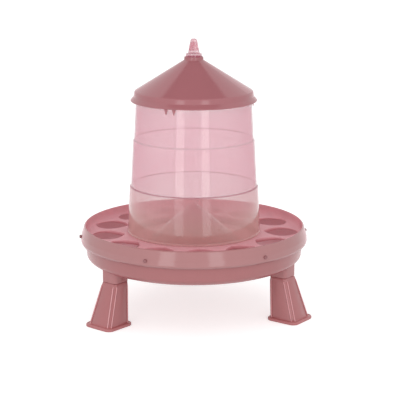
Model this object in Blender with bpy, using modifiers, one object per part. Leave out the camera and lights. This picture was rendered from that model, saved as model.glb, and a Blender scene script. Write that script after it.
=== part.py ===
"""Poultry feeder: a three-tier translucent hopper under a conical lid, standing in a feed pan
that an anti-waste grill covers, on three plug-in legs.

Metres, +Z up. The front looks along -Y, and azimuths run from the front towards +X. Every piece
is turned or placed about the feeder's upright axis and hangs from the empty feeder_axis.
"""
from math import cos, pi, radians, sin, tan

import bmesh
import bpy
from mathutils import Matrix, Vector

# Fits and resolution
GAP = 0.0003            # left between two pieces that touch
STEPS = 52              # sides of a large turned piece, four to each hole of the grill
WALL = 0.0022           # moulded wall of grill, lid, hopper, cone and legs

# Feed pan
PAN_BOTTOM_Z = 0.0945
PAN_FLOOR_RADIUS = 0.1715
PAN_WALL_RADIUS = 0.1997    # where the rounded bottom meets the wall
PAN_WALL_Z = 0.1100
PAN_RIM_RADIUS = 0.2042
PAN_RIM_Z = 0.1505
PAN_WALL = 0.0025
PAN_FLOOR_Z = PAN_BOTTOM_Z + PAN_WALL
SEAT_RADIUS = 0.1160        # low ring on the pan's floor that centres the spreader cone
SEAT_WIDTH = 0.0020
SEAT_HEIGHT = 0.0040

# Spreader cone
CONE_APEX_Z = 0.2035        # where its sides would meet
CONE_SLOPE = radians(40.0)
CONE_BASE_RADIUS = 0.1200
CONE_NOSE_RADIUS = 0.0050
CONE_NOSE_DROP = 0.0030     # the blunt nose lies this far below the apex

# Anti-waste grill
GRILL_RADIUS = 0.2102           # outer band at its widest
GRILL_BAND_Z = 0.1320
GRILL_BREAK_RADIUS = 0.2090     # where the upright band turns in towards the rim
GRILL_BREAK_Z = 0.1453
GRILL_RIM_RADIUS = 0.2030
GRILL_RIM_Z = 0.1626
GRILL_RIM_ROUND = 0.0020
GRILL_FLOOR_RADIUS = 0.1952     # foot of the rim's inner slope
GRILL_FLOOR_Z = 0.1472
GRILL_SHEET = 0.0016            # the floor is thinner than the other walls
GRILL_SEAT_Z = 0.1487           # flat ring that the hopper stands on
GRILL_SEAT_RADIUS = 0.1270
GRILL_MOUTH_RADIUS = 0.1150     # feed passage
GRILL_MOUTH_Z = 0.1360
SPIGOT_HEIGHT = 0.0020          # a low rim round the mouth centres the hopper
SPIGOT_CLEARANCE = 0.0008
HOLE_COUNT = 13
HOLE_INNER_RADIUS = 0.1300
HOLE_OUTER_RADIUS = 0.1943
HOLE_WIDTH = 0.0640
HOLE_PHASE = -2.0
HOLE_POINT = 0.85               # 0.5 makes an ellipse, more makes the ends more pointed
HOLE_LIP_Z = (0.1412, 0.1468)   # lower edge of the flange round each hole, inner and outer end
HOLE_LIP_WALL = 0.0018

# Hopper, as (outer radius, height) of each tier's top and bottom
HOPPER_TIERS = (((0.1051, 0.4040), (0.1095, 0.3240)),
                ((0.1114, 0.3210), (0.1161, 0.2375)),
                ((0.1187, 0.2345), (0.1227, 0.1530)))
FOOT_Z = GRILL_SEAT_Z + GAP
FOOT_RADIUS = 0.1236
FOOT_HEIGHT = 0.0030
WINDOW_SIZE = (0.0150, 0.0062)  # slot in the wall for each end of the hanger
WINDOW_Z = 0.3975

# Lid
LID_LIP_RADIUS = 0.1157
LID_LIP_Z = 0.3930
LID_SKIRT_RADIUS = 0.1098
LID_SKIRT_Z = 0.4010
LID_SHOULDER_RADIUS = 0.1083
LID_SHOULDER_Z = 0.4108
LID_TOP_RADIUS = 0.0204
LID_TOP_Z = 0.4650
LID_COLLAR_RADIUS = 0.0178
LID_COLLAR_Z = 0.4726
LID_BORE_RADIUS = 0.0150
LID_BORE_Z = 0.4570
TOOTH_AZIMUTHS = [centre + side for centre in (-29.1, 90.9, 210.9) for side in (-3.95, 3.95)]
TOOTH_RADIUS = 0.1086           # middle of its thickness
TOOTH_WIDTH = 0.0095            # at the lip's lower edge
TOOTH_LENGTH = 0.0135
TOOTH_ROOT = 0.0060             # how far it reaches up into the lid's wall
TOOTH_THICKNESS = 0.0016

# Hanger
STEM_RADIUS = 0.0146
STEM_TOP_Z = 0.4788
SPIRE_BASE = 0.0204
SPIRE_TOP = 0.0102
SPIRE_DEPTH = 0.0110
SPIRE_Z = 0.5048
SPIRE_ROUND = 0.0030
EYE_WIDTH = 0.0056
EYE_Z = (0.4840, 0.4985)
BRIDGE_SIZE = (0.0140, 0.0056)
BRIDGE_REACH = 0.1044           # half its length, through the hopper's wall

# Legs, as each leg's azimuth and the turn of its square section about its own axis. The two front
# legs stand corner forward, the rear one with its faces square to the radius.
LEGS = {"leg_front_left": (-60.0, 13.0), "leg_front_right": (60.0, -13.0), "leg_rear": (180.0, 0.0)}
SOCKET_RADIUS = 0.1759          # socket's centre from the axis
SOCKET_SIDE = 0.0356
SOCKET_CORNER = 0.0070
SOCKET_WALL = 0.0020
SOCKET_Z = 0.0810
SOCKET_ROOF_Z = 0.1010
NECK_SIDE = SOCKET_SIDE - 2 * (SOCKET_WALL + GAP)
NECK_TOP_Z = SOCKET_ROOF_Z - PAN_WALL - 0.0010
LEG_TOP_Z = SOCKET_Z - GAP
LEG_FOOT_RADIUS = 0.1915
LEG_FOOT_SIDE = 0.0535
LEG_CHAMFER = 0.0048
LEG_ROOF = 0.0030               # solid above the leg's wide hollow, round the neck's narrow one
PAD_RADIUS = 0.1912
PAD_SIDE = 0.0650
PAD_CORNER = 0.0125
PAD_THICKNESS = 0.0060
CATCH_SIDE = 0.0070             # latch on the neck of each leg, in a window in its socket
CATCH_DEPTH = 0.0060
CATCH_Z = 0.0895

# Locking pegs through the grill's band and the pan's wall
PEG_AZIMUTHS = [-150.0, -90.0, -30.0, 30.0, 90.0, 150.0]
PEG_Z = 0.1425
PEG_HEAD_RADIUS = 0.0036
PEG_SHANK_RADIUS = 0.0024
PEG_TIP = 0.2003
PEG_HEAD = 0.2140

# The rear foot reaches further out than the grill does in front, so the axis lies a little forward
# of the middle of the outline.
AXIS_Y = (GRILL_RADIUS - PAD_RADIUS - PAD_SIDE / 2) / 2

# Colour, roughness and metallic of each moulding
LID_PINK = ((0.42, 0.14, 0.16, 1.0), 0.35, 0.0)
HOPPER_PINK = ((0.78, 0.42, 0.50, 1.0), 0.20, 0.0)
GRILL_PINK = ((0.50, 0.21, 0.23, 1.0), 0.35, 0.0)
PAN_PINK = ((0.44, 0.17, 0.19, 1.0), 0.40, 0.0)
LEG_PINK = ((0.42, 0.16, 0.16, 1.0), 0.40, 0.0)


def clear_scene():
    for obj in list(bpy.data.objects):
        bpy.data.objects.remove(obj, do_unlink=True)


def new_collection(name):
    collection = bpy.data.collections.new(name)
    bpy.context.scene.collection.children.link(collection)
    return collection


def plastic(name, finish):
    colour, roughness, metallic = finish
    material = bpy.data.materials.new(name)
    material.use_nodes = True
    shader = material.node_tree.nodes["Principled BSDF"]
    shader.inputs["Base Color"].default_value = colour
    shader.inputs["Roughness"].default_value = roughness
    shader.inputs["Metallic"].default_value = metallic
    material.diffuse_color = colour
    return material


def add_object(name, mesh, azimuth=0.0):
    obj = bpy.data.objects.new(name, mesh)
    parts.objects.link(obj)
    obj.parent = axis
    obj.rotation_euler.z = radians(azimuth)
    return obj


def as_cutter(obj):
    parts.objects.unlink(obj)
    cutters.objects.link(obj)
    obj.hide_render = True
    obj.display_type = "WIRE"
    return obj


def finish(obj, surface):
    mesh = obj.data
    mesh.materials.append(plastic(obj.name, surface))
    mesh.shade_smooth()
    mesh.set_sharp_from_angle(angle=radians(35))
    return obj


def boolean(obj, other, operation="DIFFERENCE"):
    step = obj.modifiers.new(operation.lower(), "BOOLEAN")
    step.operation = operation
    step.object = other
    step.solver = "EXACT"


def turned(name, profile, closed=True, steps=STEPS):
    """Spin a profile of (radius, height) points, which runs down its outer side first."""
    count = len(profile)
    edges = [(i, (i + 1) % count) for i in range(count if closed else count - 1)]
    mesh = bpy.data.meshes.new(name)
    mesh.from_pydata([(radius, 0.0, height) for radius, height in profile], edges, [])
    obj = add_object(name, mesh)
    screw = obj.modifiers.new("turn", "SCREW")
    screw.steps = screw.render_steps = steps
    screw.use_merge_vertices = True
    screw.merge_threshold = 0.00001
    screw.use_smooth_shade = True
    return obj


def square_post(name, low, high, corner, segments=3, azimuth=0.0, turn=0.0):
    """A post between two square sections, each (side, distance from the axis, height)."""
    spin = Matrix.Rotation(radians(turn), 2)
    bm = bmesh.new()
    bmesh.ops.create_cube(bm, size=1.0)
    for vert in bm.verts:
        side, distance, height = high if vert.co.z > 0 else low
        across, along = spin @ Vector((vert.co.x * side, vert.co.y * side))
        vert.co = Vector((across, along - distance, height))
    upright = [edge for edge in bm.edges
               if abs(edge.verts[0].co.z - edge.verts[1].co.z) > 0.5 * abs(high[2] - low[2])]
    bmesh.ops.bevel(bm, geom=upright, offset=corner, segments=segments, profile=0.5,
                    affect="EDGES", offset_type="OFFSET")
    mesh = bpy.data.meshes.new(name)
    bm.to_mesh(mesh)
    bm.free()
    return add_object(name, mesh, azimuth)


def box(name, size, centre, azimuth=0.0):
    bm = bmesh.new()
    bmesh.ops.create_cube(bm, size=1.0)
    bmesh.ops.scale(bm, vec=size, verts=bm.verts)
    bmesh.ops.translate(bm, vec=centre, verts=bm.verts)
    mesh = bpy.data.meshes.new(name)
    bm.to_mesh(mesh)
    bm.free()
    return add_object(name, mesh, azimuth)


def socket_box(name, size, centre, azimuth, turn):
    """A box placed from the middle of a leg's socket, and turned as the socket is."""
    obj = box(name, size, centre, azimuth)
    socket = Matrix.Translation((0.0, -SOCKET_RADIUS, 0.0)) @ Matrix.Rotation(radians(turn), 4, "Z")
    obj.data.transform(socket)
    return obj


def radial_rod(name, radius, start, end, height, azimuth, sides=16):
    """A round rod that points out from the axis, between two distances from it."""
    bm = bmesh.new()
    place = Matrix.Translation((0.0, -(start + end) / 2, height)) @ Matrix.Rotation(pi / 2, 4, "X")
    bmesh.ops.create_cone(bm, cap_ends=True, segments=sides, radius1=radius, radius2=radius,
                          depth=abs(end - start), matrix=place)
    mesh = bpy.data.meshes.new(name)
    bm.to_mesh(mesh)
    bm.free()
    return add_object(name, mesh, azimuth)


def merged_cutter(name, pieces):
    """Join separate solids that don't meet into one cutter."""
    bm = bmesh.new()
    for piece in pieces:
        piece.data.transform(Matrix.Rotation(piece.rotation_euler.z, 4, "Z"))
        bm.from_mesh(piece.data)
        bpy.data.objects.remove(piece, do_unlink=True)
    mesh = bpy.data.meshes.new(name)
    bm.to_mesh(mesh)
    bm.free()
    return as_cutter(add_object(name, mesh))


def arc(centre, radii, start, end, count):
    """Points of an elliptical arc in a turned profile, from one angle in degrees to another."""
    angles = [radians(start + (end - start) * i / (count - 1)) for i in range(count)]
    return [(centre[0] + radii[0] * cos(angle), centre[1] + radii[1] * sin(angle)) for angle in angles]


def leaf(name, grow, bottom, top, azimuth):
    """The upright prism of one grill hole: a leaf along the radius, with a sloping lower end."""
    half_length = (HOLE_OUTER_RADIUS - HOLE_INNER_RADIUS) / 2 + grow
    middle = (HOLE_OUTER_RADIUS + HOLE_INNER_RADIUS) / 2
    bm = bmesh.new()
    ring = bmesh.ops.create_circle(bm, cap_ends=True, segments=20, radius=1.0)["verts"]
    for vert in ring:
        along, side = vert.co.y, (1.0 if vert.co.x > 0 else -1.0)
        width = (HOLE_WIDTH / 2 + grow) * max(0.0, 1.0 - along * along) ** HOLE_POINT
        height = bottom[0] + (1.0 + along) / 2 * (bottom[1] - bottom[0])
        vert.co = Vector((side * width, -middle - along * half_length, height))
    face = bm.faces[:]
    lifted = bmesh.ops.extrude_face_region(bm, geom=face)["geom"]
    for vert in (item for item in lifted if isinstance(item, bmesh.types.BMVert)):
        vert.co.z = top
    bmesh.ops.recalc_face_normals(bm, faces=bm.faces)
    mesh = bpy.data.meshes.new(name)
    bm.to_mesh(mesh)
    bm.free()
    return add_object(name, mesh, azimuth)


def peg_holes(name, start, end):
    rods = [radial_rod(name + str(i), PEG_SHANK_RADIUS + GAP, start, end, PEG_Z, azimuth)
            for i, azimuth in enumerate(PEG_AZIMUTHS)]
    return merged_cutter(name, rods)


def build_pan():
    """Round pan with a rounded bottom, the cone's seat on its floor and three leg sockets under it."""
    centre = (PAN_FLOOR_RADIUS, PAN_WALL_Z)
    radii = (PAN_WALL_RADIUS - PAN_FLOOR_RADIUS, PAN_WALL_Z - PAN_BOTTOM_Z)
    outside = arc(centre, radii, 0, -90, 5)
    inside = arc(centre, [radius - PAN_WALL for radius in radii], -90, 0, 5)
    seat = [(SEAT_RADIUS - SEAT_WIDTH, PAN_FLOOR_Z), (SEAT_RADIUS - SEAT_WIDTH, PAN_FLOOR_Z + SEAT_HEIGHT),
            (SEAT_RADIUS, PAN_FLOOR_Z + SEAT_HEIGHT), (SEAT_RADIUS, PAN_FLOOR_Z)]
    pan = turned("feed_pan", [(PAN_RIM_RADIUS, PAN_RIM_Z)] + outside
                 + [(0.0, PAN_BOTTOM_Z), (0.0, PAN_FLOOR_Z)] + seat + inside
                 + [(PAN_RIM_RADIUS - PAN_WALL, PAN_RIM_Z)])
    for name, (azimuth, turn) in LEGS.items():
        outer = square_post("socket_" + name, (SOCKET_SIDE, SOCKET_RADIUS, SOCKET_Z),
                            (SOCKET_SIDE, SOCKET_RADIUS, SOCKET_ROOF_Z), SOCKET_CORNER, 3, azimuth, turn)
        boolean(pan, as_cutter(outer), "UNION")
        side = SOCKET_SIDE - 2 * SOCKET_WALL
        inner = square_post("hollow_" + name, (side, SOCKET_RADIUS, SOCKET_Z - 0.002),
                            (side, SOCKET_RADIUS, SOCKET_ROOF_Z - PAN_WALL),
                            SOCKET_CORNER - SOCKET_WALL, 3, azimuth, turn)
        boolean(pan, as_cutter(inner))
        window = socket_box("window_" + name, (4 * SOCKET_WALL, CATCH_SIDE, CATCH_SIDE),
                            (SOCKET_SIDE / 2, 0.0, CATCH_Z), azimuth, turn)
        boolean(pan, as_cutter(window))
    boolean(pan, peg_holes("pan_peg_holes", PAN_RIM_RADIUS - 0.008, PAN_RIM_RADIUS + 0.004))
    return finish(pan, PAN_PINK)


def build_cone():
    """Hollow cone with a blunt nose and a short upright skirt, open underneath."""
    base_z = PAN_FLOOR_Z + GAP
    inner_radius = CONE_BASE_RADIUS - WALL
    inner_apex_z = CONE_APEX_Z - WALL / cos(CONE_SLOPE)
    nose_z = CONE_APEX_Z - CONE_NOSE_DROP
    profile = [(0.0, nose_z), (0.55 * CONE_NOSE_RADIUS, nose_z - 0.0006),
               (CONE_NOSE_RADIUS, CONE_APEX_Z - CONE_NOSE_RADIUS * tan(CONE_SLOPE)),
               (CONE_BASE_RADIUS, CONE_APEX_Z - CONE_BASE_RADIUS * tan(CONE_SLOPE)),
               (CONE_BASE_RADIUS, base_z), (inner_radius, base_z),
               (inner_radius, inner_apex_z - inner_radius * tan(CONE_SLOPE)), (0.0, nose_z - WALL)]
    return finish(turned("spreader_cone", profile, closed=False), PAN_PINK)


def build_grill():
    """Ring with a banded rim, a mouth that the hopper stands over, and holes for the birds' heads."""
    crest = (GRILL_RIM_RADIUS - GRILL_RIM_ROUND, GRILL_RIM_Z - GRILL_RIM_ROUND)
    slope_foot = (GRILL_FLOOR_RADIUS, GRILL_FLOOR_Z)
    inner_edge = GRILL_RADIUS - 0.0010 - WALL
    rim_under_z = GRILL_RIM_Z - GRILL_RIM_ROUND - 0.0020
    outside = [(GRILL_BREAK_RADIUS, GRILL_BREAK_Z), (GRILL_RADIUS, GRILL_BAND_Z + 0.0045),
               (GRILL_RADIUS - 0.0010, GRILL_BAND_Z)]
    under = [(inner_edge, GRILL_BAND_Z), (GRILL_BREAK_RADIUS - WALL, GRILL_BREAK_Z - 0.0005),
             (GRILL_RIM_RADIUS - WALL, rim_under_z), (slope_foot[0] + 0.0060, rim_under_z),
             (slope_foot[0] + 0.0030, slope_foot[1] - 0.0010), (slope_foot[0], slope_foot[1] - GRILL_SHEET),
             (GRILL_SEAT_RADIUS, GRILL_SEAT_Z - WALL), (GRILL_MOUTH_RADIUS + WALL, GRILL_SEAT_Z - WALL),
             (GRILL_MOUTH_RADIUS + WALL, GRILL_MOUTH_Z)]
    spigot_radius = hopper_inner(GRILL_SEAT_Z) - SPIGOT_CLEARANCE
    spigot_z = GRILL_SEAT_Z + SPIGOT_HEIGHT
    top = [(GRILL_MOUTH_RADIUS, GRILL_MOUTH_Z), (GRILL_MOUTH_RADIUS, spigot_z),
           (spigot_radius - 0.0006, spigot_z), (spigot_radius, GRILL_SEAT_Z),
           (GRILL_SEAT_RADIUS, GRILL_SEAT_Z), slope_foot,
           (slope_foot[0] + 0.0022, slope_foot[1] + 0.0022),
           (slope_foot[0] + 0.0038, slope_foot[1] + 0.0070)]
    rim = arc(crest, (GRILL_RIM_ROUND, GRILL_RIM_ROUND), 180, 20, 5)
    grill = turned("anti_waste_grill", outside + under + top + rim)
    azimuths = [HOLE_PHASE + 360.0 / HOLE_COUNT * i for i in range(HOLE_COUNT)]
    flanges = [leaf("flange%d" % i, HOLE_LIP_WALL, HOLE_LIP_Z, GRILL_FLOOR_Z - 0.0002, azimuth)
               for i, azimuth in enumerate(azimuths)]
    boolean(grill, merged_cutter("hole_flanges", flanges), "UNION")
    below = HOLE_LIP_Z[0] - 0.010
    holes = [leaf("hole%d" % i, 0.0, (below, below), GRILL_SEAT_Z + 0.010, azimuth)
             for i, azimuth in enumerate(azimuths)]
    boolean(grill, merged_cutter("holes", holes))
    boolean(grill, peg_holes("grill_peg_holes", GRILL_RIM_RADIUS, GRILL_RADIUS + 0.004))
    return finish(grill, GRILL_PINK)


def hopper_inner(height):
    """Inner radius of the hopper's lowest tier at a height."""
    (top_radius, top_z), (low_radius, low_z) = HOPPER_TIERS[-1]
    share = (top_z - height) / (top_z - low_z)
    return top_radius + share * (low_radius - top_radius) - WALL


def build_hopper():
    """Three tiers, each a little wider than the one above, open at the top and the bottom."""
    outer = []
    for index, tier in enumerate(HOPPER_TIERS):
        if index:
            # a small rounded shoulder carries the wall out to this tier
            outer.append((tier[0][0] - 0.0008, tier[0][1] + 0.0012))
        outer += tier
    inner = [(radius - WALL, height - (0.0006 if 0 < i < len(outer) - 1 else 0.0))
             for i, (radius, height) in enumerate(outer)]
    foot = [(FOOT_RADIUS, FOOT_Z + FOOT_HEIGHT), (FOOT_RADIUS, FOOT_Z), (hopper_inner(FOOT_Z), FOOT_Z)]
    hopper = turned("hopper", outer + foot + inner[::-1])
    for side in (-1, 1):
        window = box("hanger_window%+d" % side, (WINDOW_SIZE[0], 0.012, WINDOW_SIZE[1]),
                     (0.0, side * HOPPER_TIERS[0][0][0], WINDOW_Z))
        boolean(hopper, as_cutter(window))
    return finish(hopper, HOPPER_PINK)


def build_lid():
    """Conical lid with an everted lip, a plain collar and three pairs of pointed teeth."""
    collar = [(LID_COLLAR_RADIUS - 0.0008, LID_COLLAR_Z), (LID_COLLAR_RADIUS, LID_COLLAR_Z - 0.0010),
              (LID_COLLAR_RADIUS + 0.0002, LID_TOP_Z + 0.0012), (LID_TOP_RADIUS, LID_TOP_Z)]
    shoulder = [(LID_SHOULDER_RADIUS - 0.0050, LID_SHOULDER_Z + 0.0022),
                (LID_SHOULDER_RADIUS - 0.0012, LID_SHOULDER_Z - 0.0002),
                (LID_SHOULDER_RADIUS + 0.0004, LID_SHOULDER_Z - 0.0030)]
    lip = [(LID_SKIRT_RADIUS, LID_SKIRT_Z - 0.0010), (LID_SKIRT_RADIUS + 0.0030, LID_SKIRT_Z - 0.0040),
           (LID_LIP_RADIUS, LID_LIP_Z + 0.0008), (LID_LIP_RADIUS - 0.0006, LID_LIP_Z - 0.0010),
           (LID_LIP_RADIUS - 0.0020, LID_LIP_Z - 0.0006)]
    inside = [(LID_SKIRT_RADIUS + 0.0012, LID_SKIRT_Z - 0.0055),
              (LID_SKIRT_RADIUS - WALL, LID_SKIRT_Z - 0.0020),
              (LID_SHOULDER_RADIUS - WALL, LID_SHOULDER_Z - 0.0030),
              (LID_SHOULDER_RADIUS - 0.0045, LID_SHOULDER_Z - 0.0004),
              (LID_TOP_RADIUS - 0.0005, LID_TOP_Z - 0.0026),
              (LID_BORE_RADIUS + 0.0018, LID_BORE_Z), (LID_BORE_RADIUS, LID_BORE_Z),
              (LID_BORE_RADIUS, LID_COLLAR_Z)]
    lid = turned("lid", collar + shoulder + lip + inside)
    teeth = [tooth("tooth%d" % i, azimuth) for i, azimuth in enumerate(TOOTH_AZIMUTHS)]
    boolean(lid, merged_cutter("lid_teeth", teeth), "UNION")
    return finish(lid, LID_PINK)


def tooth(name, azimuth):
    """A pointed tab that hangs from the lip against the hopper's wall."""
    bm = bmesh.new()
    bmesh.ops.create_cone(bm, cap_ends=True, segments=3, radius1=1.0, radius2=1.0, depth=1.0,
                          matrix=Matrix.Rotation(-pi / 2, 4, "X"))
    for vert in bm.verts:
        if vert.co.z < -0.99:
            height, across = LID_LIP_Z - TOOTH_LENGTH, 0.0
        else:
            height = LID_LIP_Z + TOOTH_ROOT
            across = TOOTH_WIDTH / 2 * (1 + TOOTH_ROOT / TOOTH_LENGTH) * (1 if vert.co.x > 0 else -1)
        distance = TOOTH_RADIUS + (TOOTH_THICKNESS / 2) * (1 if vert.co.y < 0 else -1)
        vert.co = Vector((across, -distance, height))
    bmesh.ops.recalc_face_normals(bm, faces=bm.faces)
    mesh = bpy.data.meshes.new(name)
    bm.to_mesh(mesh)
    bm.free()
    return add_object(name, mesh, azimuth)


def spire(name):
    """The flat tapering post on the hanger's stem, rounded at its top."""
    bm = bmesh.new()
    bmesh.ops.create_cube(bm, size=1.0)
    for vert in bm.verts:
        top = vert.co.z > 0
        vert.co = Vector((vert.co.x * (SPIRE_TOP if top else SPIRE_BASE), vert.co.y * SPIRE_DEPTH,
                          SPIRE_Z if top else STEM_TOP_Z - 0.001))
    crown = [edge for edge in bm.edges if all(vert.co.z > SPIRE_Z - 0.001 for vert in edge.verts)]
    bmesh.ops.bevel(bm, geom=crown, offset=SPIRE_ROUND, segments=3, profile=0.5, affect="EDGES")
    mesh = bpy.data.meshes.new(name)
    bm.to_mesh(mesh)
    bm.free()
    return add_object(name, mesh)


def build_hanger():
    """Bridge across the hopper's mouth, round stem through the lid, and the eye on top."""
    stem_z = WINDOW_Z - BRIDGE_SIZE[1] / 2
    hanger = turned("hanger", [(0.0, STEM_TOP_Z), (STEM_RADIUS - 0.0008, STEM_TOP_Z),
                               (STEM_RADIUS, STEM_TOP_Z - 0.0010), (STEM_RADIUS, stem_z), (0.0, stem_z)],
                    closed=False, steps=32)
    bridge = box("bridge", (BRIDGE_SIZE[0], 2 * BRIDGE_REACH, BRIDGE_SIZE[1]), (0.0, 0.0, WINDOW_Z))
    boolean(hanger, as_cutter(bridge), "UNION")
    boolean(hanger, as_cutter(spire("spire")), "UNION")
    eye = box("eye", (2 * SPIRE_BASE, EYE_WIDTH, EYE_Z[1] - EYE_Z[0]), (0.0, 0.0, sum(EYE_Z) / 2))
    boolean(hanger, as_cutter(eye))
    return finish(hanger, HOPPER_PINK)


def build_leg(name, azimuth, turn):
    """Hollow tapered leg: latched neck in the socket, chamfered body, spread pad under it."""
    leg = square_post(name, (LEG_FOOT_SIDE, LEG_FOOT_RADIUS, 0.0), (SOCKET_SIDE, SOCKET_RADIUS, LEG_TOP_Z),
                      LEG_CHAMFER, 1, azimuth, turn)
    neck = square_post("neck_" + name, (NECK_SIDE, SOCKET_RADIUS, LEG_TOP_Z - 0.004),
                       (NECK_SIDE, SOCKET_RADIUS, NECK_TOP_Z), SOCKET_CORNER - SOCKET_WALL, 3,
                       azimuth, turn)
    boolean(leg, as_cutter(neck), "UNION")
    pad = square_post("pad_" + name, (PAD_SIDE, PAD_RADIUS, 0.0), (PAD_SIDE, PAD_RADIUS, PAD_THICKNESS),
                      PAD_CORNER, 4, azimuth, turn)
    boolean(leg, as_cutter(pad), "UNION")
    catch = socket_box("catch_" + name, (CATCH_DEPTH, CATCH_SIDE - 2 * GAP, CATCH_SIDE - 2 * GAP),
                       ((SOCKET_SIDE - CATCH_DEPTH) / 2 - GAP, 0.0, CATCH_Z), azimuth, turn)
    boolean(leg, as_cutter(catch), "UNION")
    throat_side = NECK_SIDE - 2 * WALL
    hollow = square_post("hollow_" + name, (LEG_FOOT_SIDE - 2 * WALL, LEG_FOOT_RADIUS, -0.004),
                         (throat_side, SOCKET_RADIUS, LEG_TOP_Z - LEG_ROOF), LEG_CHAMFER - 0.001, 1,
                         azimuth, turn)
    boolean(leg, as_cutter(hollow))
    throat = square_post("throat_" + name, (throat_side - 0.0004, SOCKET_RADIUS, LEG_TOP_Z - 0.010),
                         (throat_side - 0.0004, SOCKET_RADIUS, NECK_TOP_Z - WALL), 0.0015, 1,
                         azimuth, turn)
    boolean(leg, as_cutter(throat))
    return finish(leg, LEG_PINK)


def band_radius(height):
    """Outer radius of the grill's upright band at a height."""
    share = (height - GRILL_BAND_Z) / (GRILL_BREAK_Z - GRILL_BAND_Z)
    return GRILL_RADIUS + share * (GRILL_BREAK_RADIUS - GRILL_RADIUS)


def build_peg(name, azimuth):
    """Round head outside the band, and a thinner shank through the band and the pan's wall."""
    peg = radial_rod(name, PEG_HEAD_RADIUS, band_radius(PEG_Z) + 2 * GAP, PEG_HEAD, PEG_Z, azimuth)
    shank = radial_rod("shank_" + name, PEG_SHANK_RADIUS, PEG_TIP, PEG_HEAD - 0.002, PEG_Z, azimuth)
    boolean(peg, as_cutter(shank), "UNION")
    return finish(peg, GRILL_PINK)


clear_scene()
parts = new_collection("poultry_feeder")
cutters = new_collection("cutters")
axis = bpy.data.objects.new("feeder_axis", None)
parts.objects.link(axis)
axis.location.y = AXIS_Y

build_pan()
build_cone()
build_grill()
build_hopper()
build_hanger()
build_lid()
for leg_name, (leg_azimuth, leg_turn) in LEGS.items():
    build_leg(leg_name, leg_azimuth, leg_turn)
for index, peg_azimuth in enumerate(PEG_AZIMUTHS, start=1):
    build_peg("locking_peg_%d" % index, peg_azimuth)
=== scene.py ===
from math import cos, pi, radians, sin, tan

import bmesh
import bpy
from mathutils import Matrix, Vector


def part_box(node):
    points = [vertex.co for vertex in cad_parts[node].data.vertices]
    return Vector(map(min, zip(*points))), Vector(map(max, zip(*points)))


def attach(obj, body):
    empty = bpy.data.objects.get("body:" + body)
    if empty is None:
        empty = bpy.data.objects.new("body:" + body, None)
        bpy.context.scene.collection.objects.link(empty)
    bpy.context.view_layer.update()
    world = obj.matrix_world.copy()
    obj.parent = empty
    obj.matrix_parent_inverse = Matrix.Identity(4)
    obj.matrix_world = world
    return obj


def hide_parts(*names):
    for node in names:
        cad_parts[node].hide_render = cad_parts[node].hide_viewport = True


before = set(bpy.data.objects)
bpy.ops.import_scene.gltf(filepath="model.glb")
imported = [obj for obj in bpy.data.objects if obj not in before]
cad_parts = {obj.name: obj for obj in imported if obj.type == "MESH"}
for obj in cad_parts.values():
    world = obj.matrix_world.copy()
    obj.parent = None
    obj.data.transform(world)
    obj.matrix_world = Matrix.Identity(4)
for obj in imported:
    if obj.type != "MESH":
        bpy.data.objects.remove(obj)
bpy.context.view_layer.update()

# Poultry feeder. Lengths are metres, azimuths are degrees from the front (-Y) towards +X.
axisY = sum(corner.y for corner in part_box("hopper")) / 2
print("Frame loaded, the feeder's axis is at y =", round(axisY, 5))


# Shared shape helpers

# a rounding takes at most this share of each side beside it
roundingShare = 0.48
# a face leans towards the axis when its normal points there by more than this
leastLean = 0.02


def around(radius, azimuth, height):
    angle = radians(azimuth)
    return Vector((radius * sin(angle), axisY - radius * cos(angle), height))


def softened(points, closed=True, segments=4):
    # a corner given as (across, up, rounding) becomes a short curve
    result = []
    for i, point in enumerate(points):
        here = Vector(point[:2])
        if len(point) < 3 or (not closed and i in (0, len(points) - 1)):
            result.append(here)
            continue
        back = Vector(points[i - 1][:2]) - here
        ahead = Vector(points[(i + 1) % len(points)][:2]) - here
        reach = min(point[2] / tan(back.angle(ahead) / 2), roundingShare * back.length,
                    roundingShare * ahead.length)
        start = here + back.normalized() * reach
        end = here + ahead.normalized() * reach
        for k in range(segments + 1):
            t = k / segments
            result.append((1 - t) ** 2 * start + 2 * t * (1 - t) * here + t ** 2 * end)
    return result


def joinLoops(bm, loops, closed=False, capStart=False, capEnd=False, finish=None):
    # skin between loops of equal length; a loop of one vertex is a pole. The finish gives a face's
    # plastic from its place round the loop.
    pairs = list(zip(loops, loops[1:]))
    if closed:
        pairs.append((loops[-1], loops[0]))
    for upper, lower in pairs:
        count = max(len(upper), len(lower))
        for i in range(count):
            j = (i + 1) % count
            ring = [upper[i % len(upper)], upper[j % len(upper)],
                    lower[j % len(lower)], lower[i % len(lower)]]
            corners = [vert for k, vert in enumerate(ring) if vert not in ring[:k]]
            if len(corners) > 2:
                face = bm.faces.new(corners)
                face.material_index = finish(i) if finish else 0
    if capStart:
        bm.faces.new(loops[0])
    if capEnd:
        bm.faces.new(loops[-1])


def turnProfile(bm, profile, steps=208, closed=True, place=None):
    # spin (radius, height) points about the feeder's axis, or about the Z axis of a given placement
    loops = []
    for radius, height in profile:
        count = steps if radius > 1e-6 else 1
        loop = []
        for i in range(count):
            azimuth = 360 * i / steps
            if place is None:
                spot = around(radius, azimuth, height)
            else:
                angle = radians(azimuth)
                spot = place @ Vector((radius * sin(angle), radius * cos(angle), height))
            loop.append(bm.verts.new(spot))
        loops.append(loop)
    joinLoops(bm, loops, closed)


def roundedSquare(side, corner, steps=6):
    # counter-clockwise loop of 2D points
    loop = []
    for quarter in range(4):
        turn = Matrix.Rotation(quarter * pi / 2, 2)
        middle = Vector((side / 2 - corner, side / 2 - corner))
        for k in range(steps + 1):
            angle = k / steps * pi / 2
            loop.append(turn @ (middle + corner * Vector((cos(angle), sin(angle)))))
    return loop


def standing(loop, distance, place, height):
    # put a 2D loop level at a distance from the axis; the place is its azimuth and its own turn
    azimuth, turn = place
    spin = Matrix.Rotation(radians(azimuth + turn), 3, "Z")
    middle = around(distance, azimuth, height)
    return [spin @ Vector((point.x, point.y, 0)) + middle for point in loop]


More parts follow.
